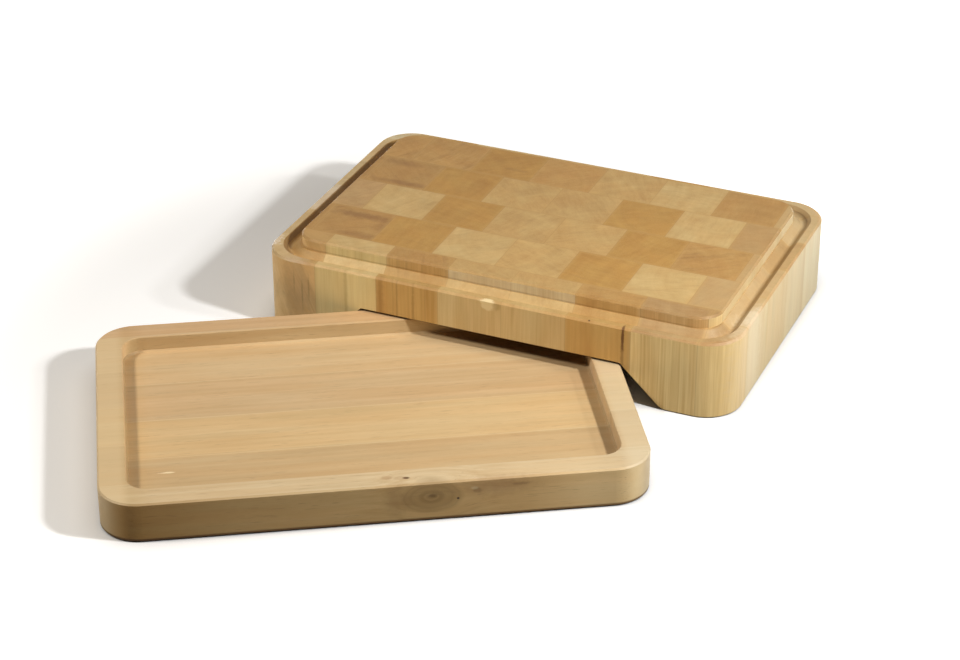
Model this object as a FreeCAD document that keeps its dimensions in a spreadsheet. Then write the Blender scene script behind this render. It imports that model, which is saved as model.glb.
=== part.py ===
import FreeCAD, Part
import math
import os
import Sketcher

# Driving sizes in millimetres, angles in degrees
driving = [
    ("board_length", 400, "outline that the board and the tray share, left to right"),
    ("board_depth", 260, "the same outline, front to back"),
    ("outline_corner", 30, "plan radius of the outline's four corners"),
    ("rim_height", 65, "board's low outer rim above the table"),
    ("rim_chamfer", 1.6, "softened outer edge of the rim"),
    ("island_rise", 9.5, "cutting surface above the rim"),
    ("island_chamfer", 1.6, "softened edge of the cutting surface"),
    ("groove_width", 13, "juice groove at the height of the rim"),
    ("groove_depth", 5, "lowest line of the groove below the rim"),
    ("groove_slope", 42, "slope of the groove's two flanks above its round bottom"),
    ("groove_ledge", 0.8, "flat strip between the groove and the wall of the island"),
    ("groove_corner", 23, "plan radius of the groove's middle line at its corners"),
    ("tunnel_height", 33.2, "ceiling of the tunnel under the board"),
    ("tunnel_flare", 35, "how far each side of the tunnel slopes out down to the table"),
    ("foot_width", 55.5, "each foot beside the tunnel, left to right, before its rounding"),
    ("foot_round", 12, "rounding between a slope and the foot under it"),
    ("foot_chamfer", 1, "softened lower edges of the feet and of the tunnel's mouths"),
    ("short_end", 28, "trimmed block at one end of each row of end-grain blocks"),
    ("long_end", 50, "trimmed block at the row's other end; every second row is turned round"),
    ("whole_blocks", 6, "blocks between the two end blocks of a row"),
    ("back_row", 21.5, "what is left of the trimmed row at the back"),
    ("front_row", 38.5, "what is left of the trimmed row at the front"),
    ("whole_rows", 4, "rows between the trimmed ones"),
    ("back_stave", 19, "what is left of the tray's trimmed stave at the back"),
    ("front_stave", 27, "what is left of the tray's trimmed stave at the front"),
    ("whole_staves", 4, "edge-glued staves between the trimmed ones"),
    ("tray_headroom", 1.2, "free height over the tray in the tunnel"),
    ("tray_chamfer", 1.2, "softened upper edge of the tray"),
    ("tray_base_chamfer", 1.5, "softened lower edge of the tray"),
    ("tray_rim", 20.5, "flat rim round the recess of the tray"),
    ("recess_corner", 16, "plan radius of the recess at its corners"),
    ("recess_lip", 0.6, "chamfered upper edge of the recess"),
    ("recess_cove", 1.5, "slanted strip between the wall and the floor of the recess"),
    ("lid_clearance", 0.5, "gap round the island when the tray lies on it as a lid"),
    ("lid_corner_clearance", 4, "island's corner radius beyond the recess's"),
    ("lid_headroom", 3.7, "recess deeper than the island is high"),
    ("tray_turn", 31, "tray turned on the table against the board"),
    ("slope_clearance", 0.9, "gap between the tray's upper edges and the slopes"),
]

# Sizes that follow from them; the tray is pushed in until both its sides meet the slopes
derived = [
    ("board_height", "rim_height + island_rise"),
    ("block_length", "(board_length - short_end - long_end) / whole_blocks"),
    ("row_depth", "(board_depth - back_row - front_row) / whole_rows"),
    ("stave_width", "(board_depth - back_stave - front_stave) / whole_staves"),
    ("island_inset", "tray_rim + lid_clearance"),
    ("island_length", "board_length - 2 * island_inset"),
    ("island_depth", "board_depth - 2 * island_inset"),
    ("island_corner", "recess_corner + lid_corner_clearance"),
    ("groove_inset", "island_inset - groove_ledge - groove_width / 2"),
    ("path_length", "board_length - 2 * groove_inset"),
    ("path_depth", "board_depth - 2 * groove_inset"),
    ("groove_point", "groove_width / 2 * tan(groove_slope)"),
    ("groove_radius", "(groove_point - groove_depth) / (1 / cos(groove_slope) - 1)"),
    ("tunnel_width", "board_length - 2 * (foot_width + tunnel_flare)"),
    ("tray_thickness", "tunnel_height - tray_headroom"),
    ("recess_depth", "island_rise + lid_headroom"),
    ("slope_run", "tunnel_flare / tunnel_height"),
    ("edge_slant", "sqrt(1 + (slope_run * cos(tray_turn)) ^ 2)"),
    ("edge_reach", "min(tray_chamfer * slope_run; tray_chamfer / cos(tray_turn))"),
    ("half_tunnel", "tunnel_width / 2 + tray_headroom * slope_run + edge_reach"),
    ("half_mouth", "half_tunnel - slope_clearance * edge_slant / cos(tray_turn)"),
    ("corner_x", "half_mouth * cos(2 * tray_turn)"),
    ("corner_y", "half_mouth * sin(2 * tray_turn) - board_depth / 2 + foot_chamfer"),
    ("tray_x", "corner_x - board_length / 2 * cos(tray_turn) + board_depth / 2 * sin(tray_turn)"),
    ("tray_y", "corner_y - board_length / 2 * sin(tray_turn) - board_depth / 2 * cos(tray_turn)"),
    ("arm_length", "board_length / 2 - outline_corner"),
    ("arm_depth", "board_depth / 2 - outline_corner"),
    ("tray_half_x", "arm_length * cos(tray_turn) + arm_depth * sin(tray_turn) + outline_corner"),
    ("tray_half_y", "arm_length * sin(tray_turn) + arm_depth * cos(tray_turn) + outline_corner"),
    ("left_end", "min(-board_length / 2; tray_x - tray_half_x)"),
    ("right_end", "max(board_length / 2; tray_x + tray_half_x)"),
    ("front_end", "min(-board_depth / 2; tray_y - tray_half_y)"),
    ("back_end", "max(board_depth / 2; tray_y + tray_half_y)"),
    ("board_x", "-(left_end + right_end) / 2"),
    ("board_y", "-(front_end + back_end) / 2"),
]

doc = FreeCAD.newDocument("cutting_board")
sizes = doc.addObject("Spreadsheet::Sheet", "sizes")


def fill_sheet():
    cells = [(alias, str(value), note) for alias, value, note in driving]
    cells += [(alias, "=" + formula, "worked out") for alias, formula in derived]
    for row, (alias, text, note) in enumerate(cells, start=1):
        sizes.set(f"A{row}", alias)
        sizes.set(f"B{row}", text)
        sizes.setAlias(f"B{row}", alias)
        sizes.set(f"C{row}", note)
    doc.recompute()


def cell(formula):
    # Value of a formula in the sheet's own names
    return float(sizes.evalExpression(formula))


def in_sheet(formula):
    # The same formula as another object has to write it
    words = formula.replace("(", "( ").replace(")", " )").split(" ")
    names = {alias for alias, *rest in driving + derived}
    return " ".join("sizes." + word if word in names else word for word in words)


def bind(thing, **formulas):
    for name, formula in formulas.items():
        thing.setExpression(name.replace("__", "."), in_sheet(formula))


def sketch_on(body, name, role, lift="0"):
    # A sketch on one of the body's own planes, lifted along that plane's normal
    plane = next(item for item in body.Origin.OriginFeatures if item.Role == role)
    sketch = body.newObject("Sketcher::SketchObject", name)
    sketch.AttachmentSupport = (plane, [""])
    sketch.MapMode = "FlatFace"
    bind(sketch, AttachmentOffset__Base__z=lift)
    return sketch


def measure(sketch, name, formula, kind, *places):
    # A named dimension whose value comes from the sheet
    index = sketch.addConstraint(Sketcher.Constraint(kind, *places, cell(formula)))
    sketch.renameConstraint(index, name)
    sketch.setExpression("Constraints." + name, in_sheet(formula))


def rounded_rectangle(sketch, across, deep, corner):
    # Four lines and four tangent arcs, centred on the origin
    half_x = cell(across) / 2
    half_y = cell(deep) / 2
    radius = cell(corner)
    point = FreeCAD.Vector
    lines = [
        (point(-half_x + radius, -half_y), point(half_x - radius, -half_y)),
        (point(half_x, -half_y + radius), point(half_x, half_y - radius)),
        (point(half_x - radius, half_y), point(-half_x + radius, half_y)),
        (point(-half_x, half_y - radius), point(-half_x, -half_y + radius)),
    ]
    centres = [
        (point(half_x - radius, -half_y + radius), -90),
        (point(half_x - radius, half_y - radius), 0),
        (point(-half_x + radius, half_y - radius), 90),
        (point(-half_x + radius, -half_y + radius), 180),
    ]
    for start, end in lines:
        sketch.addGeometry(Part.LineSegment(start, end), False)
    for centre, turn in centres:
        circle = Part.Circle(centre, point(0, 0, 1), radius)
        sketch.addGeometry(Part.ArcOfCircle(circle, math.radians(turn), math.radians(turn + 90)), False)
    for side in range(4):
        sketch.addConstraint(Sketcher.Constraint("Tangent", side, 2, side + 4, 1))
        sketch.addConstraint(Sketcher.Constraint("Tangent", side + 4, 2, (side + 1) % 4, 1))
        sketch.addConstraint(Sketcher.Constraint("Horizontal" if side % 2 == 0 else "Vertical", side))
    for other in (5, 6, 7):
        sketch.addConstraint(Sketcher.Constraint("Equal", 4, other))
    sketch.addConstraint(Sketcher.Constraint("Symmetric", 4, 3, 6, 3, -1, 1))
    measure(sketch, "corner", corner, "Radius", 4)
    measure(sketch, "across", across, "DistanceX", 3, 1, 1, 1)
    measure(sketch, "deep", deep, "DistanceY", 0, 1, 2, 1)


def level_edges(feature, height):
    # Names of the feature's edges that lie wholly at one height
    names = []
    for number, edge in enumerate(feature.Shape.Edges, start=1):
        box = edge.BoundBox
        if abs(box.ZMin - height) < 1e-4 and abs(box.ZMax - height) < 1e-4:
            names.append(f"Edge{number}")
    return names


def soften(feature, name, names, kind, size):
    # Round or chamfer the named edges of a body's last feature
    edge = feature.getParentGeoFeatureGroup().newObject("PartDesign::" + kind, name)
    edge.Base = (feature, names)
    bind(edge, **{"Radius" if kind == "Fillet" else "Size": size})
    doc.recompute()
    return edge


def pad(body, name, sketch, height):
    solid = body.newObject("PartDesign::Pad", name)
    solid.Profile = sketch
    bind(solid, Length=height)
    doc.recompute()
    return solid


# The board's whole machined form: outline, island, juice groove and tunnel
def make_board_form():
    body = doc.addObject("PartDesign::Body", "board_form")
    outline = sketch_on(body, "board_outline", "XY_Plane")
    rounded_rectangle(outline, "board_length", "board_depth", "outline_corner")
    slab = pad(body, "board_slab", outline, "rim_height")
    soften(slab, "rim_edge", level_edges(slab, cell("rim_height")), "Chamfer", "rim_chamfer")

    plan = sketch_on(body, "island_plan", "XY_Plane", "rim_height")
    rounded_rectangle(plan, "island_length", "island_depth", "island_corner")
    island = pad(body, "island", plan, "island_rise")
    soften(island, "island_edge", level_edges(island, cell("board_height")), "Chamfer", "island_chamfer")
    cut_groove(body)
    cut_tunnel(body)
    return body


def cut_groove(body):
    # A pointed cutter with a round nose, run all the way round just outside the island
    path = sketch_on(body, "groove_path", "XY_Plane", "rim_height")
    rounded_rectangle(path, "path_length", "path_depth", "groove_corner")
    cutter = sketch_on(body, "groove_cutter", "XZ_Plane")
    radius = cell("groove_radius")
    slope = math.radians(cell("groove_slope"))
    point = FreeCAD.Vector
    centre = point(cell("path_length / 2"), cell("rim_height - groove_depth") + radius)
    left = centre.x - cell("groove_width / 2")
    right = centre.x + cell("groove_width / 2")
    low = cell("rim_height")
    high = cell("rim_height + island_rise / 2")
    reach = point(radius * math.sin(slope), -radius * math.cos(slope))
    circle = Part.Circle(centre, point(0, 0, 1), radius)
    bottom = Part.ArcOfCircle(circle, -math.pi / 2 - slope, -math.pi / 2 + slope)
    corners = [centre + reach, point(right, low), point(right, high), point(left, high), point(left, low)]
    corners.append(centre + point(-reach.x, reach.y))
    cutter.addGeometry(bottom, False)
    for start, end in zip(corners, corners[1:]):
        cutter.addGeometry(Part.LineSegment(start, end), False)
    for side in (1, 2, 3, 4):
        cutter.addConstraint(Sketcher.Constraint("Coincident", side, 2, side + 1, 1))
    cutter.addConstraint(Sketcher.Constraint("Tangent", 0, 2, 1, 1))
    cutter.addConstraint(Sketcher.Constraint("Tangent", 5, 2, 0, 1))
    cutter.addConstraint(Sketcher.Constraint("Vertical", 2))
    cutter.addConstraint(Sketcher.Constraint("Horizontal", 3))
    cutter.addConstraint(Sketcher.Constraint("Vertical", 4))
    measure(cutter, "radius", "groove_radius", "Radius", 0)
    measure(cutter, "middle", "path_length / 2", "DistanceX", -1, 1, 0, 3)
    measure(cutter, "centre", "rim_height - groove_depth + groove_radius", "DistanceY", -1, 1, 0, 3)
    measure(cutter, "half_width", "groove_width / 2", "DistanceX", 0, 3, 2, 1)
    measure(cutter, "width", "groove_width", "DistanceX", 3, 2, 3, 1)
    measure(cutter, "right_rim", "rim_height", "DistanceY", -1, 1, 1, 2)
    measure(cutter, "left_rim", "rim_height", "DistanceY", -1, 1, 5, 1)
    measure(cutter, "top", "rim_height + island_rise / 2", "DistanceY", -1, 1, 3, 1)
    doc.recompute()
    groove = body.newObject("PartDesign::SubtractivePipe", "juice_groove")
    groove.Profile = cutter
    groove.Spine = path
    doc.recompute()


def cut_tunnel(body):
    # A trapezoid right through from front to back, with rounded feet beside it
    mouth = sketch_on(body, "tunnel_mouth", "XZ_Plane")
    half = cell("tunnel_width / 2")
    foot = cell("tunnel_width / 2 + tunnel_flare")
    ceiling = cell("tunnel_height")
    point = FreeCAD.Vector
    corners = [point(-foot, 0), point(foot, 0), point(half, ceiling), point(-half, ceiling)]
    for start, end in zip(corners, corners[1:] + corners[:1]):
        mouth.addGeometry(Part.LineSegment(start, end), False)
    for side in range(4):
        mouth.addConstraint(Sketcher.Constraint("Coincident", side, 2, (side + 1) % 4, 1))
    mouth.addConstraint(Sketcher.Constraint("PointOnObject", 0, 1, -1))
    mouth.addConstraint(Sketcher.Constraint("Symmetric", 0, 1, 0, 2, -1, 1))
    mouth.addConstraint(Sketcher.Constraint("Symmetric", 2, 1, 2, 2, -2))
    measure(mouth, "foot_to_foot", "tunnel_width + 2 * tunnel_flare", "DistanceX", 0, 1, 0, 2)
    measure(mouth, "ceiling", "tunnel_width", "DistanceX", 2, 2, 2, 1)
    measure(mouth, "height", "tunnel_height", "DistanceY", 0, 2, 2, 1)
    doc.recompute()
    tunnel = body.newObject("PartDesign::Pocket", "tunnel")
    tunnel.Profile = mouth
    tunnel.SideType = "Symmetric"
    tunnel.Type = "ThroughAll"
    doc.recompute()
    inner = []
    for number, edge in enumerate(tunnel.Shape.Edges, start=1):
        box = edge.BoundBox
        flat = abs(box.ZMax) < 1e-4 and box.XLength < 1e-4
        if flat and abs(abs(box.Center.x) - foot) < 1e-4:
            inner.append(f"Edge{number}")
    rounded = soften(tunnel, "foot_rounding", inner, "Fillet", "foot_round")
    soften(rounded, "foot_edges", outer_edges(rounded), "Chamfer", "foot_chamfer")


def outer_edges(feature):
    # Lower edges along the outline and round the mouths, not those that run inside the tunnel
    half_depth = cell("board_depth / 2")
    half_length = cell("board_length / 2")
    names = level_edges(feature, 0) + level_edges(feature, cell("tunnel_height"))
    outer = []
    for name in names:
        box = feature.Shape.getElement(name).BoundBox
        on_mouth = abs(abs(box.Center.y) - half_depth) < 1e-4
        on_end = abs(abs(box.Center.x) - half_length) < 1e-4
        on_corner = box.XLength > 1e-4 and box.YLength > 1e-4
        if on_mouth or on_end or on_corner:
            outer.append(name)
    return outer


# The tray's whole machined form: the board's outline with a routed recess
def make_tray_form():
    body = doc.addObject("PartDesign::Body", "tray_form")
    outline = sketch_on(body, "tray_outline", "XY_Plane")
    rounded_rectangle(outline, "board_length", "board_depth", "outline_corner")
    slab = pad(body, "tray_slab", outline, "tray_thickness")
    edged = soften(slab, "tray_edge", level_edges(slab, cell("tray_thickness")), "Chamfer", "tray_chamfer")
    soften(edged, "tray_base", level_edges(edged, 0), "Chamfer", "tray_base_chamfer")
    plan = sketch_on(body, "recess_plan", "XY_Plane", "tray_thickness")
    rounded_rectangle(plan, "board_length - 2 * tray_rim", "board_depth - 2 * tray_rim", "recess_corner")
    recess = body.newObject("PartDesign::Pocket", "recess")
    recess.Profile = plan
    bind(recess, Length="recess_depth")
    doc.recompute()
    floor = level_edges(recess, cell("tray_thickness - recess_depth"))
    coved = soften(recess, "recess_floor", floor, "Chamfer", "recess_cove")
    inner = [name for name in level_edges(coved, cell("tray_thickness")) if inside_recess(coved, name)]
    soften(coved, "recess_edge", inner, "Chamfer", "recess_lip")
    return body


def inside_recess(feature, name):
    # The recess's upper edge, not the inner edge of the chamfer round the tray
    box = feature.Shape.getElement(name).BoundBox
    reach = max(abs(box.XMin), abs(box.XMax)) - cell("board_length / 2 - tray_rim")
    return reach < 1e-4 and max(abs(box.YMin), abs(box.YMax)) - cell("board_depth / 2 - tray_rim") < 1e-4


def spans(total, first, step, count):
    # Cell formulas of both ends of each piece between one edge of the outline and the other
    lines = [f"{first} + {number} * {step}" for number in range(round(cell(count)) + 1)]
    ends = ["0"] + lines + [total]
    return list(zip(ends, ends[1:]))


def piece_of(form, label, left, right, back, front, height, place):
    # One glued piece: the form inside a stock block that is measured from the outline's left and back edges
    stock = doc.addObject("Part::Box", label + "_stock")
    bind(
        stock,
        Length=f"{right} - ( {left} )",
        Width=f"{front} - ( {back} )",
        Height=height,
        Placement__Base__x=f"{left} - board_length / 2",
        Placement__Base__y=f"board_depth / 2 - ( {front} )",
    )
    piece = doc.addObject("Part::Common", label)
    piece.Label = label
    piece.Base = stock
    piece.Tool = form
    piece.Placement.Rotation.Axis = FreeCAD.Vector(0, 0, 1)
    bind(piece, **place)
    return piece


def make_blocks(form):
    pieces = []
    place = {"Placement__Base__x": "board_x", "Placement__Base__y": "board_y"}
    for row, (back, front) in enumerate(spans("board_depth", "back_row", "row_depth", "whole_rows")):
        start = "short_end" if row % 2 == 0 else "long_end"
        blocks = spans("board_length", start, "block_length", "whole_blocks")
        for number, (left, right) in enumerate(blocks, start=1):
            label = f"block_{'abcdefghijklmnopqrst'[row]}{number}"
            pieces.append(piece_of(form, label, left, right, back, front, "board_height", place))
    return pieces


def make_staves(form):
    pieces = []
    place = {
        "Placement__Base__x": "board_x + tray_x",
        "Placement__Base__y": "board_y + tray_y",
        "Placement__Rotation__Angle": "tray_turn",
    }
    staves = spans("board_depth", "back_stave", "stave_width", "whole_staves")
    for number, (back, front) in enumerate(staves, start=1):
        label = f"tray_stave_{number}"
        pieces.append(piece_of(form, label, "0", "board_length", back, front, "tray_thickness", place))
    return pieces


fill_sheet()
pieces = make_blocks(make_board_form()) + make_staves(make_tray_form())
doc.recompute()

for thing in doc.Objects:
    if "Invalid" in thing.State or "Error" in thing.State:
        raise RuntimeError(f"{thing.Label} could not be built: {thing.State}")
for piece in pieces:
    if piece.Shape.isNull() or not piece.Shape.isValid() or len(piece.Shape.Solids) != 1:
        raise RuntimeError(f"{piece.Label} is not one sound solid")

os.makedirs("parts", exist_ok=True)
for piece in pieces:
    piece.Shape.exportStep(f"parts/{piece.Label}.step")
total = sum(piece.Shape.Volume for piece in pieces)
print(len(pieces), "pieces of wood, together", round(total / 1000), "cubic centimetres")
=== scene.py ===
import math
import random

import bpy
from mathutils import Matrix, Vector


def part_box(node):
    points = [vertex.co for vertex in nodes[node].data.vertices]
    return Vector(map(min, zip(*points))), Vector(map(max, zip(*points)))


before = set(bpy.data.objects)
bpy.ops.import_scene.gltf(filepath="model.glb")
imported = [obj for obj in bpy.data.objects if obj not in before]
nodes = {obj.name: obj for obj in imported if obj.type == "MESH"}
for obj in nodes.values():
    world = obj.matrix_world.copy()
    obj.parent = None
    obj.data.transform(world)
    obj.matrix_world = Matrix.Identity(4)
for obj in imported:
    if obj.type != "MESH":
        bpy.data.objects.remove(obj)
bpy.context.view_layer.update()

blockNames = sorted(n for n in nodes if n.startswith("block_"))
staveNames = sorted(n for n in nodes if n.startswith("tray_stave_"))
perMetre = 1000  # patterns are written in millimetres
toMillimetres = (perMetre,) * 3
opaque = (1.0,)  # alpha of every tone
smooth = {"interpolation_type": "SMOOTHSTEP"}  # a soft step, from nothing to all
mixing = {"data_type": "RGBA", "clamp_factor": True}
tinting = {"data_type": "RGBA", "blend_type": "MULTIPLY"}  # multiplies a colour as far as the factor says
print("frame loaded:", len(blockNames), "blocks and", len(staveNames), "staves")


def hexColour(code):  # sRGB hex to a linear colour with alpha
    parts = [int(code[i:i + 2], 16) / 255 for i in (0, 2, 4)]
    return tuple(p / 12.92 if p <= 0.04045 else ((p + 0.055) / 1.055) ** 2.4 for p in parts) + opaque


def addNode(tree, kind, settings, inputs, out=None):  # gives the output asked for, or the first in use
    made = tree.nodes.new("ShaderNode" + kind)
    for key, value in settings.items():
        setattr(made, key, value)
    for key, value in inputs.items():
        named = [s for s in made.inputs if s.enabled and s.name == key]
        socket = named[0] if named else made.inputs[key]
        if isinstance(value, bpy.types.NodeSocket):
            tree.links.new(value, socket)
        else:
            socket.default_value = value
    return made.outputs[out] if out else next((s for s in made.outputs if s.enabled), None)


def emptyMaterial(name):
    material = bpy.data.materials.new(name)
    material.use_nodes = True
    material.node_tree.nodes.clear()
    return material


def seenDirectly(tree):  # one for rays from the camera, off gloss or through glass, else nothing
    seen = 0.0
    for kind in ("Camera", "Glossy", "Transmission"):
        ray = addNode(tree, "LightPath", {}, {}, "Is " + kind + " Ray")
        seen = addNode(tree, "Math", {"operation": "MAXIMUM"}, {0: seen, 1: ray})
    return seen


def boxOf(names):  # lowest and highest corner of several pieces together
    corners = [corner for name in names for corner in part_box(name)]
    return [Vector([pick(c[i] for c in corners) for i in range(3)]) for pick in (min, max)]


boardLow, boardHigh = boxOf(blockNames)
boardMiddle = (boardLow + boardHigh) / 2
trayLow, trayHigh = boxOf(staveNames)
trayMiddle = (trayLow + trayHigh) / 2


# Camera, from the front right and above

cameraView = {
    "around": 23.13,  # degrees from the front towards the right
    "up": 29.45,
    "away": 2.0621,  # metres
    "aim": (-0.0323, -0.0694),  # on the table, from the middle of the board
    "lens": 95.05,
    "sensor": 36.0,
}


def direction(around, up):  # degrees from +X towards +Y, and above the table
    around, up = math.radians(around), math.radians(up)
    return Vector((math.cos(around) * math.cos(up), math.sin(around) * math.cos(up), math.sin(up)))


def place(thing, aim, towards, away):  # stands back from the aim and looks at it
    thing.location = aim + towards * away
    thing.rotation_euler = (-towards).to_track_quat("-Z", "Y").to_euler()
    bpy.context.scene.collection.objects.link(thing)


cameraData = bpy.data.cameras.new("photo camera")
cameraData.sensor_fit = "HORIZONTAL"
cameraData.sensor_width = cameraView["sensor"]
cameraData.lens = cameraView["lens"]
camera = bpy.data.objects.new("photo camera", cameraData)
cameraAim = Vector((boardMiddle.x + cameraView["aim"][0], boardMiddle.y + cameraView["aim"][1], 0))
place(camera, cameraAim, direction(cameraView["around"] - 90, cameraView["up"]), cameraView["away"])
bpy.context.scene.camera = camera
print("camera placed")


# Lamps: a small hard one near the right end, a weak one behind it, and a softer one at the left

lamps = {
    "key lamp at the right": {
        "around": -10.8, "up": 43.5, "away": 0.93, "size": 0.08, "watts": 6.5, "tint": "FFFFFF"},
    "weak lamp at the right": {
        "around": 3, "up": 33, "away": 2.5, "size": 0.2, "watts": 11.0, "tint": "FFFFFF"},
    "lamp at the left": {
        "around": 219, "up": 46, "away": 1.75, "size": 0.26, "watts": 14.5, "tint": "FFF9F0"},
}
roomLight = {
    "tint": "FFFBF5", "strength": 0.03,  # what it throws on the pieces
    "shownTint": "FFFFFF", "shownStrength": 1.0,
}

lampAim = Vector((boardMiddle.x, (boardMiddle.y + trayMiddle.y) / 2, 0))
for name, lamp in lamps.items():
    lampData = bpy.data.lights.new(name, "AREA")
    lampData.shape = "DISK"
    lampData.size = lamp["size"]
    lampData.energy = lamp["watts"]
    lampData.color = hexColour(lamp["tint"])[:3]
    place(bpy.data.objects.new(name, lampData), lampAim, direction(lamp["around"], lamp["up"]), lamp["away"])

world = bpy.data.worlds.new("white studio")
world.use_nodes = True
sky = world.node_tree
sky.nodes.clear()
thrown = addNode(sky, "Background", {}, {
    "Color": hexColour(roomLight["tint"]), "Strength": roomLight["strength"]})
shown = addNode(sky, "Background", {}, {
    "Color": hexColour(roomLight["shownTint"]), "Strength": roomLight["shownStrength"]})
backdrop = addNode(sky, "MixShader", {}, {0: seenDirectly(sky), 1: thrown, 2: shown})
addNode(sky, "OutputWorld", {}, {"Surface": backdrop})
bpy.context.scene.world = world
bpy.context.scene.view_settings.view_transform = "Standard"
print("lamps and room light set:", len(lamps), "lamps")


# Table top: matt white board, which looks white but throws back less light than it shows

tableTop = {
    "half": 3.0,
    "thrown": "6C6A67",
    "near": 0.30,  # metres from the middle, where the lamps light it fully
    "far": 0.78,
    "nearGain": 1.23,
    "farGain": 4.0,  # makes up for the lamps' fall-off
    "thinning": 3.0,  # further out the light thins with this power of the distance
    "contact": 0.022,  # metres round a piece in which the table darkens
    "contactDepth": 0.6,  # power of the clear share of the sky there, so that the shade stays faint
    "contactSamples": 8,
}

tableMesh = bpy.data.meshes.new("table top")
half = tableTop["half"]
tableCorners = [(-half, -half, 0), (half, -half, 0), (half, half, 0), (-half, half, 0)]
tableMesh.from_pydata(tableCorners, [], [(0, 1, 2, 3)])
table = bpy.data.objects.new("table_top", tableMesh)
bpy.context.scene.collection.objects.link(table)
matt = emptyMaterial("white matt laminate")
tree = matt.node_tree
here = addNode(tree, "TexCoord", {}, {}, "Object")
away = addNode(tree, "VectorMath", {"operation": "LENGTH"}, {0: here}, "Value")
gain = addNode(tree, "MapRange", smooth, {
    "Value": away, "From Min": tableTop["near"], "From Max": tableTop["far"],
    "To Min": tableTop["nearGain"], "To Max": tableTop["farGain"]})
beyond = addNode(tree, "Math", {"operation": "DIVIDE"}, {0: away, 1: tableTop["far"]})
beyond = addNode(tree, "Math", {"operation": "MAXIMUM"}, {0: beyond, 1: 1.0})
beyond = addNode(tree, "Math", {"operation": "POWER"}, {0: beyond, 1: tableTop["thinning"]})
gain = addNode(tree, "Math", {"operation": "MULTIPLY"}, {0: gain, 1: beyond})
clear = addNode(tree, "AmbientOcclusion", {"samples": tableTop["contactSamples"]}, {
    "Distance": tableTop["contact"]}, "AO")
clear = addNode(tree, "Math", {"operation": "POWER"}, {0: clear, 1: tableTop["contactDepth"]})
gain = addNode(tree, "Math", {"operation": "MULTIPLY"}, {0: gain, 1: clear})
tone = addNode(tree, "Mix", mixing, {
    "Factor": seenDirectly(tree), "A": hexColour(tableTop["thrown"]), "B": gain})
addNode(tree, "OutputMaterial", {}, {"Surface": addNode(tree, "BsdfDiffuse", {}, {"Color": tone})})
table.data.materials.append(matt)
print("table top laid")


# Rubberwood: pale, with hardly any rings. Its long vessels show as fine dark dashes along the grain and
# as tiny dots on end grain, which also drinks more oil and so looks darker and more golden.

rubberwood = {
    "cream": {"side": "F3DFA2", "end": "CDAD73"},
    "straw": {"side": "DFC08A", "end": "C8A468"},
    "biscuit": {"side": "E0C68E", "end": "C5A166"},
    "gold": {"side": "D2AE72", "end": "C29758"},
    "honey": {"side": "CBA366", "end": "BB904B"},
    "amber": {"side": "D6AE6A", "end": "B99053"},
    "umber": {"side": "F4D093", "end": "B78E52"},
    "rose": {"side": "DAB78A", "end": "C09C68"},
    "khaki": {"side": "F2D596", "end": "AF8C5B"},
    "ivory": {"side": "E5CE9D", "end": "C09F6C"},
    "sand": {"side": "E9D5A8", "end": "B8945F"},
    "chalk": {"side": "F1E2BA", "end": "C4A674"},
}
finish = {
    "roughness": 0.52,  # thin rubbed oil
    "ior": 1.45,
    "specular": 0.35,
    "dark": (0.70, 0.60, 0.47),  # what the darkest wood of a piece is to its mean colour
    "pale": (1.10, 1.13, 1.18),
    # dark stain, also used for the painted shade lines in the groove
    "stainAndShade": "6E4522",
    "hue": (0.35, 0.65),  # the hue wanders between the next two within one piece
    "yellow": (0.99, 1.01, 1.03),
    "pink": (1.01, 0.99, 0.97),
    "patternMean": 0.5,  # every pattern lies about this
    "patternRough": 0.6,  # share of the finer waves in a pattern
    "ragged": {"size": (5.0, 5.0, 5.0), "detail": 2.0},  # how coarse the edges of marks are
    "markEdge": 1.3,  # where a mark ends, in halves of its size and with the ragged part added
}


def woodPattern(tree, where, look, out=None):  # its sizes are in millimetres, one for each axis
    scaled = addNode(tree, "VectorMath", {"operation": "DIVIDE"}, {0: where, 1: look["size"]})
    return addNode(tree, "TexNoise", {}, {
        "Vector": scaled, "Scale": 1.0, "Detail": look["detail"], "Roughness": finish["patternRough"]}, out)


def toneOf(tree, parts, total=finish["patternMean"]):  # adds patterns to a tone, each with its own strength
    for pattern, strength in parts:
        about = addNode(tree, "Math", {"operation": "SUBTRACT"}, {0: pattern, 1: finish["patternMean"]})
        total = addNode(tree, "Math", {"operation": "MULTIPLY_ADD"}, {0: about, 1: strength, 2: total})
    return total


def woodColour(tree, code, tone):  # dark to pale about a mean colour
    mean = hexColour(code)
    dark = tuple(m * part for m, part in zip(mean, finish["dark"])) + opaque
    pale = tuple(m * part for m, part in zip(mean, finish["pale"])) + opaque
    return addNode(tree, "Mix", mixing, {"Factor": tone, "A": dark, "B": pale})


def addMarks(tree, where, colour, marks):  # chips, pits and streaks: soft lumps with ragged edges
    ragged = woodPattern(tree, where, finish["ragged"]) if marks else None
    for at, half, wood, strength, soft in marks:
        apart = addNode(tree, "VectorMath", {"operation": "SUBTRACT"}, {0: where, 1: at})
        apart = addNode(tree, "VectorMath", {"operation": "DIVIDE"}, {0: apart, 1: half})
        apart = addNode(tree, "VectorMath", {"operation": "LENGTH"}, {0: apart}, "Value")
        apart = addNode(tree, "Math", {"operation": "ADD"}, {0: apart, 1: ragged})
        there = addNode(tree, "MapRange", smooth, {
            "Value": apart, "From Min": finish["markEdge"] + soft, "From Max": finish["markEdge"] - soft,
            "To Max": strength})
        colour = addNode(tree, "Mix", mixing, {"Factor": there, "A": colour, "B": hexColour(wood)})
    return colour


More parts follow.
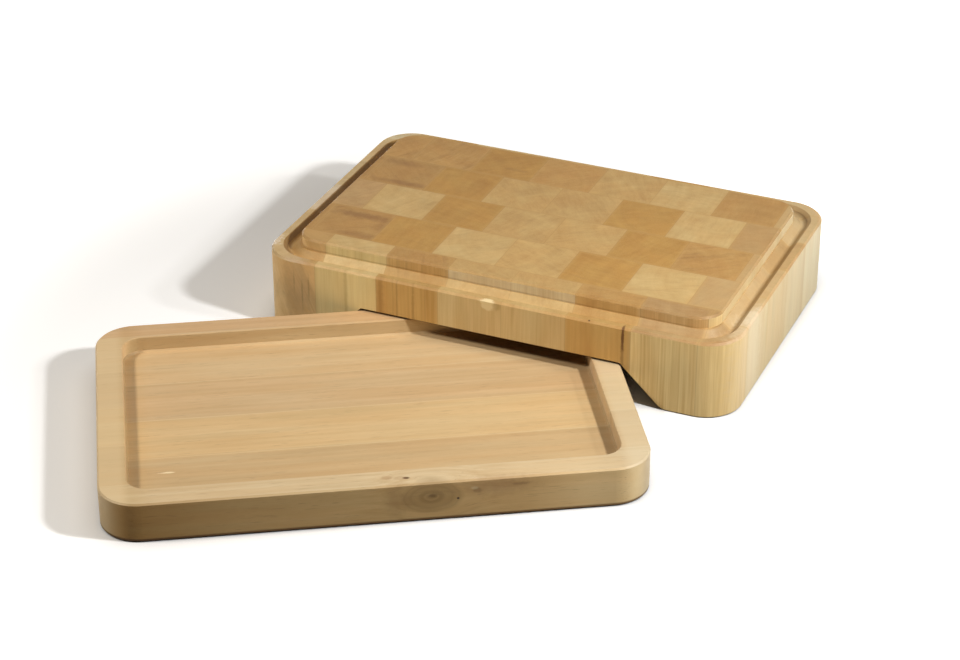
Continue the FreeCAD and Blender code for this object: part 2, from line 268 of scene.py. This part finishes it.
def wanderingHue(tree, where, colour, look):
    hue = addNode(tree, "MapRange", smooth, {
        "Value": woodPattern(tree, where, look), "From Min": finish["hue"][0], "From Max": finish["hue"][1]})
    hue = addNode(tree, "Mix", mixing, {
        "Factor": hue, "A": finish["yellow"] + opaque, "B": finish["pink"] + opaque})
    return addNode(tree, "Mix", tinting, {"Factor": 1.0, "A": colour, "B": hue})


def woodSurface(material, colour, relief, reliefHeight, rough):
    tree = material.node_tree
    normal = addNode(tree, "Bump", {}, {"Height": relief, "Distance": reliefHeight, "Strength": 1.0})
    shader = addNode(tree, "BsdfPrincipled", {}, {
        "Base Color": colour, "Roughness": rough, "IOR": finish["ior"],
        "Specular IOR Level": finish["specular"], "Normal": normal})
    addNode(tree, "OutputMaterial", {}, {"Surface": shader})


# Board: end-grain blocks with their fibres upright, in rows from the back to the front

board = {
    "rows": {  # from the left
        "a": "straw honey cream biscuit straw honey straw chalk",
        "b": "gold gold honey gold straw cream umber chalk",
        "c": "umber umber honey straw biscuit honey cream sand",
        "d": "rose cream honey biscuit straw honey amber ivory",
        "e": "umber umber honey cream straw honey cream ivory",
        "f": "umber cream amber biscuit biscuit amber khaki khaki",
    },
    "marked": {  # stains, ribs and leaning fibres beyond the usual, and the tone of the raised part's wall
        "b1": {"smudge": 0.2}, "b2": {"smudge": 0.25},
        "c1": {"smudge": 0.4}, "c2": {"smudge": 0.22},
        "d1": {"smudge": 0.05}, "d7": {"smudge": 0.45},
        "e2": {"smudge": 0.35},
        "f1": {"smudge": 0.1, "lean": 24},
        "f3": {"smudge": 0.3, "rib": 0.3, "wall": (1.12, 1.17, 1.35)},
        "f4": {"wall": (1.18, 1.26, 1.55)},
        "f5": {"rib": 0.1, "wall": (1.18, 1.26, 1.55)},
        "f6": {"smudge": 0.15, "rib": 0.1, "wall": (1.08, 1.1, 1.2)},
        "f7": {"rib": 0.9, "wall": (0.80, 0.70, 0.65)},
        "f8": {"rib": 0.5, "wall": (1.0, 1.0, 1.05)},
    },
    "marks": {  # millimetres from the left, from the front and up, half size, colour, strength, softness
        "b3": [((140, 205, 74), (14, 3, 12), "8A6234", 0.25, 0.3)],
        "c2": [
            ((64, 145, 74), (27, 4.5, 12), "855C30", 0.55, 0.6),
            ((46, 180, 74), (18, 5, 12), "855C30", 0.4, 0.7),
        ],
        "e2": [
            ((58, 77, 74), (34, 5.5, 12), "7E552B", 0.6, 0.6),
            ((84, 64, 74), (12, 9, 12), "7E552B", 0.4, 0.6),
            ((68, 44, 74), (20, 6, 12), "7E552B", 0.4, 0.7),
        ],
        "e8": [((402, 52, 33), (16, 24, 90), "F3E4C4", 0.4, 0.6)],
        "f1": [
            ((0, 24, 26), (11, 21, 44), "FFE6BA", 0.9, 0.4),  # pale wood on the left side, made paler still as painted light on the rounded corner
            ((34, 2, 40), (13, 9, 36), "A88A66", 0.4, 0.6),  # grey stain with three short streaks
            ((44, 0, 43), (0.9, 8, 12), "6A4E30", 0.3, 0.5),
            ((38, 1, 37), (0.9, 8, 14), "6A4E30", 0.3, 0.5),
            ((31, 2, 47), (0.8, 8, 10), "6A4E30", 0.28, 0.5),
            ((36, 30, 74), (22, 16, 6), "CBA56A", 0.4, 0.6),
        ],
        "f2": [((77, 0, 45), (2.0, 8, 40), "957C46", 0.25, 0.6)],
        "f3": [
            ((107, 0, 45), (4, 8, 40), "7A4E22", 0.35, 0.7),
            ((122, 0, 45), (1.0, 8, 40), "7A4E22", 0.3, 0.3),
            ((136, 0, 40), (1.4, 8, 30), "7A4E22", 0.3, 0.3),
        ],
        "f4": [  # the chipped edge and the darker wood beside it
            ((200, 0, 62), (8, 4, 7), "F0DBA6", 0.75, 0.2),
            ((208, 0, 62), (5, 4, 5), "A9864A", 0.45, 0.4),
        ],
        "f6": [  # a bark pocket that runs out downwards, and a pit
            ((312, 0, 57), (1.3, 6, 13), "4E2E14", 0.8, 0.3),
            ((312, 0, 44), (1.6, 6, 34), "6E4522", 0.45, 0.3),
            ((284, 1.5, 65), (1.0, 1.0, 1.2), "3A2412", 0.9, 0.3),
        ],
        "f8": [((402, 34, 33), (16, 34, 90), "DCC49A", 0.5, 0.5)],
    },
    "calm": {"ivory": 0.6, "sand": 0.6, "chalk": 0.5},  # sapwood with less figure
    "pith": (35, 110),  # how far off the heart of the tree lies
    "trunk": 5000,  # length of the trunk that the blocks come from
    "wobble": {"size": (22, 22, 160), "detail": 1.5, "depth": 5.0},  # bends the grain
    "ring": {"width": 7.0, "detail": 2.5, "tone": 0.28},
    "cloud": {"size": (26, 26, 110), "detail": 2.0, "tone": 0.85},
    "ray": {"size": (13, 3.5, 70), "detail": 2.5, "tone": 0.5},  # flecks that run from the heart outwards
    "vessel": {"size": (1.1, 1.1, 46), "detail": 2.0, "tone": 0.4},  # drawn four times as wide, to show
    "rib": {"size": (1.5, 1.5, 300), "detail": 1.0, "tone": 0.2},  # on upright faces alone
    "blush": {"size": (24, 24, 70), "detail": 1.0},
    "smudge": {"size": (34, 5.5, 90), "detail": 3.0, "none": 0.5, "full": 0.78, "least": 0.1, "gain": 0.6},
    "endGrain": (0.35, 0.68),  # how level a face is where end grain begins to show, and where it is all
    "tunnel": {"none": -0.2, "full": -0.5, "tone": (0.2, 0.17, 0.15)},  # undersides, painted shade
    "glue": {"half": 0.35, "strength": 0.25},
    "seep": {  # glue and oil creep from a joint, and even out the tones of two blocks
        "wander": 5.0, "none": 6.0, "full": 2.0, "strength": 0.4, "side": "DABD84", "end": "BF985B"},
    "vesselRough": 0.1,
    "relief": 0.00012,
}
groove = {  # cut later than the top was oiled, so rim and groove are paler; their outer flank carries painted shade, and the rim's outer edge a painted highlight
    "above": 58.0, "rim": 65.2, "below": 66.5,  # millimetres up
    "path": {"inset": 13.7, "corner": 23.0},  # the middle of the groove
    "innerTone": (1.15, 1.24, 1.42),
    "shadedOuterFlank": {"starts": 2.5, "soft": 1.0, "tone": (0.74, 0.74, 0.74)},  # painted shade on the groove's outer flank; millimetres outside the middle
    "rimFace": {"starts": 6.5, "soft": 0.3, "tone": (1.10, 1.18, 1.30)},
    # a painted highlight along the rim's rounded outer edge
    "edgeHighlight": {"starts": 12.0, "soft": 0.3, "tone": (1.16, 1.17, 1.25)},
    "paintedLeftLight": {"none": 60, "full": 15, "tone": (1.31, 1.66, 2.65)},  # painted light: the rim and its edge are lifted towards the left end, where the lamps leave them darker
    "broken": (0.3, 0.5),  # the dark lines show where the cloud pattern is above this
    "line": 0.55,
    "fade": 10,
    "lines": [  # painted shade lines in creases, as far back from the front as they reach
        {"inset": 10.7, "corner": 25.0, "strength": 0.35, "reach": 400},
        {"inset": 21.0, "corner": 20.0, "strength": 0.25, "reach": 34},  # only near the front
    ],
}
dice = random.Random(24)


def outsideOf(tree, fromMiddle, line):  # millimetres outside a rounded line round the board
    halfBoard = (boardHigh - boardLow) * perMetre / 2
    square = [halfBoard[i] - line["inset"] - line["corner"] for i in range(2)] + [2 * halfBoard.z]
    past = addNode(tree, "VectorMath", {"operation": "SUBTRACT"}, {0: fromMiddle, 1: square})
    past = addNode(tree, "VectorMath", {"operation": "MAXIMUM"}, {0: past, 1: (0, 0, 0)})
    past = addNode(tree, "VectorMath", {"operation": "LENGTH"}, {0: past}, "Value")
    return addNode(tree, "Math", {"operation": "SUBTRACT"}, {0: past, 1: line["corner"]})


def blockWood(name):
    spot = name[-2:]
    row, column = spot[0], int(spot[1]) - 1
    shade = board["rows"][row].split()[column]
    marked = board["marked"].get(spot, {})
    calm = board["calm"].get(shade, 1.0)
    low, high = [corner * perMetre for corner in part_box(name)]
    middle = (low + high) / 2
    heart = dice.uniform(0, 2 * math.pi)
    lean = math.radians(marked.get("lean", 0))
    pith = dice.uniform(*board["pith"])
    material = emptyMaterial("end-grain rubberwood, " + shade + ", " + spot)
    tree = material.node_tree
    here = addNode(tree, "TexCoord", {}, {}, "Object")

    # the block's own axes, with the heart of the tree at the origin
    turned = Matrix.Rotation(heart, 3, "Z") @ Matrix.Rotation(lean, 3, "Y") @ middle
    grain = addNode(tree, "Mapping", {}, {
        "Vector": here, "Scale": toMillimetres, "Rotation": (0, lean, heart),
        "Location": (pith - turned.x, -turned.y, dice.uniform(0, board["trunk"]))})
    wobble = woodPattern(tree, grain, board["wobble"], "Color")
    bend = addNode(tree, "VectorMath", {"operation": "MULTIPLY_ADD"}, {
        0: wobble, 1: (board["wobble"]["depth"],) * 3, 2: grain})
    radius = addNode(tree, "VectorMath", {"operation": "MULTIPLY"}, {0: bend, 1: (1, 1, 0)})
    radius = addNode(tree, "VectorMath", {"operation": "LENGTH"}, {0: radius}, "Value")
    rings = addNode(tree, "Math", {"operation": "DIVIDE"}, {0: radius, 1: board["ring"]["width"]})
    rings = addNode(tree, "TexNoise", {"noise_dimensions": "1D"}, {
        "W": rings, "Scale": 1.0, "Detail": board["ring"]["detail"], "Roughness": finish["patternRough"]})
    cloud = woodPattern(tree, grain, board["cloud"])
    ray = woodPattern(tree, bend, board["ray"])
    vessel = woodPattern(tree, bend, board["vessel"])
    figure = [("ring", rings), ("cloud", cloud), ("ray", ray), ("vessel", vessel)]
    tone = toneOf(tree, [(pattern, board[kind]["tone"] * calm) for kind, pattern in figure])
    rib = woodPattern(tree, bend, board["rib"])
    ribbed = toneOf(tree, [(rib, marked.get("rib", 0.0) + board["rib"]["tone"] * calm)], tone)

    # end grain on level faces, long grain on upright ones
    facing = addNode(tree, "NewGeometry", {}, {}, "Normal")
    upward = addNode(tree, "SeparateXYZ", {}, {0: facing}, "Z")
    level = addNode(tree, "Math", {"operation": "ABSOLUTE"}, {0: upward})
    endGrain = addNode(tree, "MapRange", smooth, {
        "Value": level, "From Min": board["endGrain"][0], "From Max": board["endGrain"][1]})
    sideWood = woodColour(tree, rubberwood[shade]["side"], ribbed)
    endWood = woodColour(tree, rubberwood[shade]["end"], tone)
    colour = addNode(tree, "Mix", mixing, {"Factor": endGrain, "A": sideWood, "B": endWood})
    colour = wanderingHue(tree, bend, colour, board["blush"])
    # painted shade on faces that look down, which also keeps the tunnel under the board dark
    tunnel = board["tunnel"]
    undersideShade = addNode(tree, "MapRange", smooth, {
        "Value": upward, "From Min": tunnel["none"], "From Max": tunnel["full"]})
    colour = addNode(tree, "Mix", tinting, {"Factor": undersideShade, "A": colour, "B": tunnel["tone"] + opaque})

    # smoky stains in bands along the rings
    smoke = board["smudge"]
    smudge = addNode(tree, "MapRange", smooth, {
        "Value": woodPattern(tree, bend, smoke), "From Min": smoke["none"], "From Max": smoke["full"],
        "To Max": smoke["least"] + smoke["gain"] * marked.get("smudge", 0.0)})
    stainAndShade = hexColour(finish["stainAndShade"])
    colour = addNode(tree, "Mix", mixing, {"Factor": smudge, "A": colour, "B": stainAndShade})

    # chips, bark and smoky bands, measured from the board's left front corner
    corner = addNode(tree, "VectorMath", {"operation": "MULTIPLY_ADD"}, {
        0: here, 1: toMillimetres, 2: -boardLow * perMetre})
    colour = addMarks(tree, corner, colour, board["marks"].get(spot, []))

    # glue lines, only where another block lies on that side
    beyond = 100  # pushes a free side out of the way
    touching = 1  # millimetre, within which a block's side is the board's own
    for axis in range(2):
        if abs(low[axis] - boardLow[axis] * perMetre) < touching:
            low[axis] -= beyond
        if abs(high[axis] - boardHigh[axis] * perMetre) < touching:
            high[axis] += beyond
    apart = addNode(tree, "VectorMath", {"operation": "MULTIPLY_ADD"}, {
        0: here, 1: toMillimetres, 2: -(low + high) / 2})
    apart = addNode(tree, "VectorMath", {"operation": "ABSOLUTE"}, {0: apart})
    inside = addNode(tree, "VectorMath", {"operation": "SUBTRACT"}, {0: (high - low) / 2, 1: apart})
    sides = [addNode(tree, "SeparateXYZ", {}, {0: inside}, axis) for axis in "XY"]
    joint = addNode(tree, "Math", {"operation": "MINIMUM"}, {0: sides[0], 1: sides[1]})
    seep = board["seep"]
    between = addNode(tree, "Mix", mixing, {
        "Factor": endGrain, "A": hexColour(seep["side"]), "B": hexColour(seep["end"])})
    creep = addNode(tree, "Math", {"operation": "MULTIPLY_ADD"}, {0: cloud, 1: seep["wander"], 2: joint})
    creep = addNode(tree, "MapRange", smooth, {
        "Value": creep, "From Min": seep["none"], "From Max": seep["full"], "To Max": seep["strength"]})
    colour = addNode(tree, "Mix", mixing, {"Factor": creep, "A": colour, "B": between})
    glue = addNode(tree, "MapRange", smooth, {
        "Value": joint, "From Min": board["glue"]["half"], "From Max": 0.0,
        "To Max": board["glue"]["strength"]})
    colour = addNode(tree, "Mix", mixing, {"Factor": glue, "A": colour, "B": stainAndShade})

    # rim and groove against the top, with painted shade, highlight and light among their tones, and the walls
    # of the raised part against the outer sides
    fromMiddle = addNode(tree, "VectorMath", {"operation": "MULTIPLY_ADD"}, {
        0: here, 1: toMillimetres, 2: -boardMiddle * perMetre})
    fromMiddle = addNode(tree, "VectorMath", {"operation": "ABSOLUTE"}, {0: fromMiddle})
    across, fromFront, height = [addNode(tree, "SeparateXYZ", {}, {0: corner}, axis) for axis in "XYZ"]
    nearTop = addNode(tree, "Math", {"operation": "GREATER_THAN"}, {0: height, 1: groove["above"]})
    outward = outsideOf(tree, fromMiddle, groove["path"])
    paintedLeftLight = groove["paintedLeftLight"]
    leftward = addNode(tree, "MapRange", smooth, {
        "Value": across, "From Min": paintedLeftLight["none"], "From Max": paintedLeftLight["full"]})
    grooveToneAndPaintedLight = groove["innerTone"] + opaque
    for part in ("shadedOuterFlank", "rimFace", "edgeHighlight"):
        face = groove[part]
        past = addNode(tree, "MapRange", smooth, {
            "Value": outward, "From Min": face["starts"] - face["soft"],
            "From Max": face["starts"] + face["soft"]})
        faceTone = face["tone"] + opaque
        if part != "shadedOuterFlank":
            faceTone = addNode(tree, "Mix", mixing, {
                "Factor": leftward, "A": faceTone, "B": paintedLeftLight["tone"] + opaque})
        grooveToneAndPaintedLight = addNode(tree, "Mix", mixing, {"Factor": past, "A": grooveToneAndPaintedLight, "B": faceTone})
    cutThere = addNode(tree, "Math", {"operation": "LESS_THAN"}, {0: height, 1: groove["rim"]})
    cutThere = addNode(tree, "Math", {"operation": "MULTIPLY"}, {0: cutThere, 1: nearTop})
    cutThere = addNode(tree, "Math", {"operation": "MULTIPLY"}, {0: cutThere, 1: endGrain})
    colour = addNode(tree, "Mix", tinting, {"Factor": cutThere, "A": colour, "B": grooveToneAndPaintedLight})
    if "wall" in marked:
        wallThere = addNode(tree, "Math", {"operation": "GREATER_THAN"}, {0: height, 1: groove["rim"]})
        wallThere = addNode(tree, "Math", {"operation": "SUBTRACT", "use_clamp": True}, {
            0: wallThere, 1: endGrain})
        colour = addNode(tree, "Mix", tinting, {
            "Factor": wallThere, "A": colour, "B": marked["wall"] + opaque})

    # painted shade lines in the groove and at the foot of the raised part, broken up by the cloud pattern
    inGroove = addNode(tree, "Math", {"operation": "LESS_THAN"}, {0: height, 1: groove["below"]})
    inGroove = addNode(tree, "Math", {"operation": "MULTIPLY"}, {0: inGroove, 1: nearTop})
    broken = addNode(tree, "MapRange", smooth, {
        "Value": cloud, "From Min": groove["broken"][0], "From Max": groove["broken"][1]})
    inGroove = addNode(tree, "Math", {"operation": "MULTIPLY"}, {0: inGroove, 1: broken})
    for line in groove["lines"]:
        near = addNode(tree, "MapRange", smooth, {
            "Value": fromFront, "From Min": line["reach"], "From Max": line["reach"] - groove["fade"],
            "To Max": line["strength"]})
        off = addNode(tree, "Math", {"operation": "ABSOLUTE"}, {0: outsideOf(tree, fromMiddle, line)})
        creaseShade = addNode(tree, "MapRange", smooth, {"Value": off, "From Min": groove["line"], "From Max": 0.0})
        creaseShade = addNode(tree, "Math", {"operation": "MULTIPLY"}, {0: creaseShade, 1: inGroove})
        creaseShade = addNode(tree, "Math", {"operation": "MULTIPLY"}, {0: creaseShade, 1: near})
        colour = addNode(tree, "Mix", mixing, {"Factor": creaseShade, "A": colour, "B": stainAndShade})

    rough = addNode(tree, "MapRange", {}, {
        "Value": vessel, "To Min": finish["roughness"] + board["vesselRough"],
        "To Max": finish["roughness"] - board["vesselRough"]})
    woodSurface(material, colour, vessel, board["relief"], rough)
    return material


for name in blockNames:
    nodes[name].data.materials.clear()
    nodes[name].data.materials.append(blockWood(name))
print("board wood made:", len(blockNames), "blocks")


# Tray: staves glued edge to edge, with their fibres along the tray

tray = {
    "turn": 31.0,  # degrees
    "staves": ["DAB78A", "E1C395", "D9BA8D", "DFC08E", "D1B385", "DAC299"],  # mean colours from the back
    "wall": (0.92, 0.96, 0.95),  # upright faces along the tray, but for the sawn front
    "upright": (0.5, 0.95),  # how upright a face is where its tone begins, and where it is full
    "wallEnd": (1.15, 1.17, 1.22),  # end walls of the recess
    "end": (0.88, 0.86, 0.82),  # end grain outside
    "outside": (181, 185),  # millimetres from the middle, from the recess's end walls to the outside
    "cove": {  # painted shade at the foot of the end walls
        "below": 22.0, "level": (0.1, 0.3), "endward": (0.2, 0.5), "tone": (0.78, 0.75, 0.70)},
    "front": (0.97, 0.85, 0.63),  # painted shade on the sawn front
    "frontTones": [  # painted shade towards its left end and painted light at its right
        {"none": -80, "full": -190, "tone": (0.67, 0.59, 0.45)},
        {"none": 95, "full": 160, "tone": (1.30, 1.40, 1.60)},
    ],
    "endTones": [  # near both ends it is first darker and then paler, millimetres along the tray; by the right end wall the darker part is painted shade that widens the lamp's shadow
        {"none": 140, "full": 176, "tone": (0.90, 0.90, 0.90)},
        {"none": 174, "full": 186, "tone": (1.02, 1.12, 1.28)},
        {"none": -158, "full": -176, "tone": (0.93, 0.91, 0.85)},
        {"none": -176, "full": -186, "tone": (1.10, 1.16, 1.27)},
    ],
    "evenWood": {"none": 176, "full": 184, "strength": 0.55, "colour": "DBBC8D"},  # hides the joints there
    "undersideShade": {"none": -0.3, "full": -0.6, "tone": (0.5, 0.5, 0.5)},  # painted shade on the lower edge
    "baseShade": {"none": 3.6, "full": 2.2, "tone": (0.28, 0.23, 0.18)},  # painted shade along the foot of the outside, millimetres up
    "knot": {
        "stave": 6, "at": (36, -130, 20), "half": (19, 14, 11), "wood": "6A4E22", "strength": 0.52,
        "none": 1.45, "full": 1.05,  # its edge, in halves of its size
        "ragged": {"size": (19, 14, 11), "detail": 3.0, "depth": 0.25},
        "pull": {"none": 2.8, "full": 0.6, "depth": -0.8},  # how the grain swells round it
        "rings": {"count": 3.2, "detail": 1.5, "none": 0.35, "full": 0.65, "depth": 0.5, "least": 0.65},
        "swirl": {"size": (40, 3.2, 3.2), "detail": 2.0, "none": 5.0, "full": 2.0, "tone": 0.9},
    },
    "marks": {  # millimetres along the tray, across it and up, half size, colour, strength, softness
        5: [((-150, -70, 18.8), (6.5, 1.3, 2), "F6E2B6", 0.8, 0.3)],
        6: [
            ((37, -130, 21), (3.6, 6, 2), "4A3318", 0.5, 0.5),  # heart of the knot
            ((11, -130, 19), (9, 5, 13), "6E4C24", 0.35, 0.8),
            ((84, -130, 26), (26, 5, 8), "83593A", 0.4, 0.8),
            ((18.7, -121, 32), (2.8, 1.8, 2), "3A2208", 0.95, 0.3),  # pin knot on the rim
            ((15, -121, 32), (7, 3, 3), "9A7044", 0.3, 0.3),
            ((5, -119, 32), (5, 3, 3), "9A7044", 0.4, 0.3),
            ((55, -130, 17.5), (1.1, 1.5, 1.1), "1E120A", 0.9, 0.3),  # pit beside the knot
            ((69, -130, 23), (4, 4, 3), "6B4A2A", 0.4, 0.3),
            ((67, -130, 25), (3, 4, 1.5), "E2CFA2", 0.4, 0.3),
            ((100, -130, 26), (7, 4, 1.4), "5B3A1C", 0.35, 0.5),
        ],
    },
    "joints": [111, 57.5, 4, -49.5, -103],  # millimetres behind the middle, from the back
    "seep": {"reach": 3.0, "strength": 0.45},  # the tones of two staves run into each other at a joint
    "glue": {"half": 0.6, "colour": "F1DFB4", "strength": 0.3},
    "plank": (5000, 500, 500),  # size of the wood that the staves come from
    "wobble": {"size": (120, 16, 16), "detail": 1.5, "depth": 4.0},  # bends the grain
    "cloud": {"size": (110, 14, 14), "detail": 2.0, "tone": 0.5},
    "streak": {"size": (420, 4.5, 8), "detail": 2.5, "tone": 0.5},
    "vessel": {"size": (18, 0.9, 0.9), "detail": 2.0, "tone": 0.25},  # drawn three times as wide, to show
    "vesselStain": {"none": 0.58, "full": 0.74, "strength": 0.3},
    "blush": {"size": (130, 13, 13), "detail": 1.0},
    "relief": 0.0001,
}


def staveWood(name):
    number = int(name[-1])
    code = tray["staves"][number - 1]
    material = emptyMaterial("edge-glued rubberwood, stave " + str(number))
    tree = material.node_tree
    turn = math.radians(-tray["turn"])
    here = addNode(tree, "TexCoord", {}, {}, "Object")
    turned = Matrix.Rotation(turn, 3, "Z") @ Vector((trayMiddle.x, trayMiddle.y, 0)) * perMetre
    along = addNode(tree, "Mapping", {}, {
        "Vector": here, "Scale": toMillimetres, "Rotation": (0, 0, turn), "Location": -turned})
    lengthwise, crosswise, height = [addNode(tree, "SeparateXYZ", {}, {0: along}, axis) for axis in "XYZ"]
    grain = along

    # the grain swells round the knot
    knot = tray["knot"] if tray["knot"]["stave"] == number else None
    if knot:
        apart = addNode(tree, "VectorMath", {"operation": "SUBTRACT"}, {0: along, 1: knot["at"]})
        reach = addNode(tree, "VectorMath", {"operation": "DIVIDE"}, {0: apart, 1: knot["half"]})
        reach = addNode(tree, "VectorMath", {"operation": "LENGTH"}, {0: reach}, "Value")
        ragged = woodPattern(tree, along, knot["ragged"])
        reach = addNode(tree, "Math", {"operation": "MULTIPLY_ADD"}, {
            0: ragged, 1: knot["ragged"]["depth"], 2: reach})
        pull = addNode(tree, "MapRange", smooth, {
            "Value": reach, "From Min": knot["pull"]["none"], "From Max": knot["pull"]["full"],
            "To Max": knot["pull"]["depth"]})
        pulled = addNode(tree, "VectorMath", {"operation": "SCALE"}, {0: apart, "Scale": pull})
        grain = addNode(tree, "VectorMath", {"operation": "ADD"}, {0: along, 1: pulled})

    # the stave's own part of a plank, and its figure
    plankSpot = tuple(dice.uniform(0, size) for size in tray["plank"])
    grain = addNode(tree, "VectorMath", {"operation": "ADD"}, {0: grain, 1: plankSpot})
    wobble = woodPattern(tree, grain, tray["wobble"], "Color")
    bend = addNode(tree, "VectorMath", {"operation": "MULTIPLY_ADD"}, {
        0: wobble, 1: (tray["wobble"]["depth"],) * 3, 2: grain})
    cloud = woodPattern(tree, bend, tray["cloud"])
    streak = woodPattern(tree, bend, tray["streak"])
    vessel = woodPattern(tree, bend, tray["vessel"])
    figure = [("cloud", cloud), ("streak", streak), ("vessel", vessel)]
    tone = toneOf(tree, [(pattern, tray[kind]["tone"]) for kind, pattern in figure])
    if knot:
        swirl = knot["swirl"]
        swirlDepth = addNode(tree, "MapRange", smooth, {
            "Value": reach, "From Min": swirl["none"], "From Max": swirl["full"], "To Max": swirl["tone"]})
        tone = toneOf(tree, [(woodPattern(tree, bend, swirl), swirlDepth)], tone)
    colour = woodColour(tree, code, tone)

    # joints with the staves behind and in front
    for other in (number - 1, number + 1):
        if 1 <= other <= len(staveNames):
            apart = addNode(tree, "Math", {"operation": "SUBTRACT"}, {
                0: crosswise, 1: tray["joints"][min(number, other) - 1]})
            apart = addNode(tree, "Math", {"operation": "ABSOLUTE"}, {0: apart})
            near = addNode(tree, "MapRange", smooth, {
                "Value": apart, "From Min": tray["seep"]["reach"], "From Max": 0.0,
                "To Max": tray["seep"]["strength"]})
            otherWood = woodColour(tree, tray["staves"][other - 1], tone)
            colour = addNode(tree, "Mix", mixing, {"Factor": near, "A": colour, "B": otherWood})
            glue = addNode(tree, "MapRange", smooth, {
                "Value": apart, "From Min": tray["glue"]["half"], "From Max": 0.0,
                "To Max": tray["glue"]["strength"]})
            colour = addNode(tree, "Mix", mixing, {
                "Factor": glue, "A": colour, "B": hexColour(tray["glue"]["colour"])})
    colour = wanderingHue(tree, bend, colour, tray["blush"])
    dash = tray["vesselStain"]
    dashes = addNode(tree, "MapRange", smooth, {
        "Value": vessel, "From Min": dash["none"], "From Max": dash["full"], "To Max": dash["strength"]})
    colour = addNode(tree, "Mix", mixing, {"Factor": dashes, "A": colour, "B": hexColour(finish["stainAndShade"])})

    # other tones near the ends, with painted shade by the right end wall
    outward = addNode(tree, "Math", {"operation": "ABSOLUTE"}, {0: lengthwise})
    if number > 1:
        even = tray["evenWood"]
        evened = addNode(tree, "MapRange", smooth, {
            "Value": outward, "From Min": even["none"], "From Max": even["full"], "To Max": even["strength"]})
        colour = addNode(tree, "Mix", mixing, {"Factor": evened, "A": colour, "B": hexColour(even["colour"])})
    for part in tray["endTones"]:
        there = addNode(tree, "MapRange", smooth, {
            "Value": lengthwise, "From Min": part["none"], "From Max": part["full"]})
        colour = addNode(tree, "Mix", tinting, {"Factor": there, "A": colour, "B": part["tone"] + opaque})

    # other tones on upright faces and on the end grain, and painted shade at the foot of the end walls, on
    # the sawn front, under the lower edge and along the foot
    facing = addNode(tree, "VectorRotate", {"rotation_type": "Z_AXIS"}, {
        "Vector": addNode(tree, "NewGeometry", {}, {}, "Normal"), "Angle": turn})
    upward = addNode(tree, "SeparateXYZ", {}, {0: facing}, "Z")
    facing = addNode(tree, "VectorMath", {"operation": "ABSOLUTE"}, {0: facing})
    endward, frontward = [addNode(tree, "SeparateXYZ", {}, {0: facing}, axis) for axis in "XY"]
    # painted shade in the cove at the foot of the end walls
    cove = tray["cove"]
    footLevel = addNode(tree, "MapRange", smooth, {
        "Value": upward, "From Min": cove["level"][0], "From Max": cove["level"][1]})
    footEndward = addNode(tree, "MapRange", smooth, {
        "Value": endward, "From Min": cove["endward"][0], "From Max": cove["endward"][1]})
    coveShade = addNode(tree, "Math", {"operation": "MULTIPLY"}, {0: footLevel, 1: footEndward})
    inRecess = addNode(tree, "Math", {"operation": "LESS_THAN"}, {0: height, 1: cove["below"]})
    coveShade = addNode(tree, "Math", {"operation": "MULTIPLY"}, {0: coveShade, 1: inRecess})
    colour = addNode(tree, "Mix", tinting, {"Factor": coveShade, "A": colour, "B": cove["tone"] + opaque})
    atEnd = addNode(tree, "MapRange", smooth, {
        "Value": outward, "From Min": tray["outside"][0], "From Max": tray["outside"][1]})
    end = addNode(tree, "Mix", mixing, {
        "Factor": atEnd, "A": tray["wallEnd"] + opaque, "B": tray["end"] + opaque})
    front = tray["wall"] + opaque
    # the sawn front gets painted shade, deepest at its left end, and painted light at its right end
    if number == len(staveNames):
        front = tray["front"] + opaque
        for part in tray["frontTones"]:
            there = addNode(tree, "MapRange", smooth, {
                "Value": lengthwise, "From Min": part["none"], "From Max": part["full"]})
            front = addNode(tree, "Mix", tinting, {"Factor": there, "A": front, "B": part["tone"] + opaque})
    for turnedTo, faceTone in ((endward, end), (frontward, front)):
        there = addNode(tree, "MapRange", smooth, {
            "Value": turnedTo, "From Min": tray["upright"][0], "From Max": tray["upright"][1]})
        colour = addNode(tree, "Mix", tinting, {"Factor": there, "A": colour, "B": faceTone})
    # painted shade under the lower edge and along the foot of the outside
    for part, value in (("undersideShade", upward), ("baseShade", height)):
        there = addNode(tree, "MapRange", smooth, {
            "Value": value, "From Min": tray[part]["none"], "From Max": tray[part]["full"]})
        colour = addNode(tree, "Mix", tinting, {
            "Factor": there, "A": colour, "B": tray[part]["tone"] + opaque})

    # the knot with its rings, then the smaller marks
    if knot:
        ring = knot["rings"]
        rings = addNode(tree, "Math", {"operation": "MULTIPLY"}, {0: reach, 1: ring["count"]})
        rings = addNode(tree, "TexNoise", {"noise_dimensions": "1D"}, {
            "W": rings, "Scale": 1.0, "Detail": ring["detail"]})
        rings = addNode(tree, "MapRange", smooth, {
            "Value": rings, "From Min": ring["none"], "From Max": ring["full"], "To Max": ring["depth"]})
        rings = addNode(tree, "Math", {"operation": "ADD"}, {0: rings, 1: ring["least"]})
        inKnot = addNode(tree, "MapRange", smooth, {
            "Value": reach, "From Min": knot["none"], "From Max": knot["full"], "To Max": knot["strength"]})
        inKnot = addNode(tree, "Math", {"operation": "MULTIPLY"}, {0: rings, 1: inKnot})
        colour = addNode(tree, "Mix", mixing, {"Factor": inKnot, "A": colour, "B": hexColour(knot["wood"])})
    colour = addMarks(tree, along, colour, tray["marks"].get(number, []))
    woodSurface(material, colour, vessel, tray["relief"], finish["roughness"])
    return material


for name in staveNames:
    nodes[name].data.materials.clear()
    nodes[name].data.materials.append(staveWood(name))
print("tray wood made:", len(staveNames), "staves")
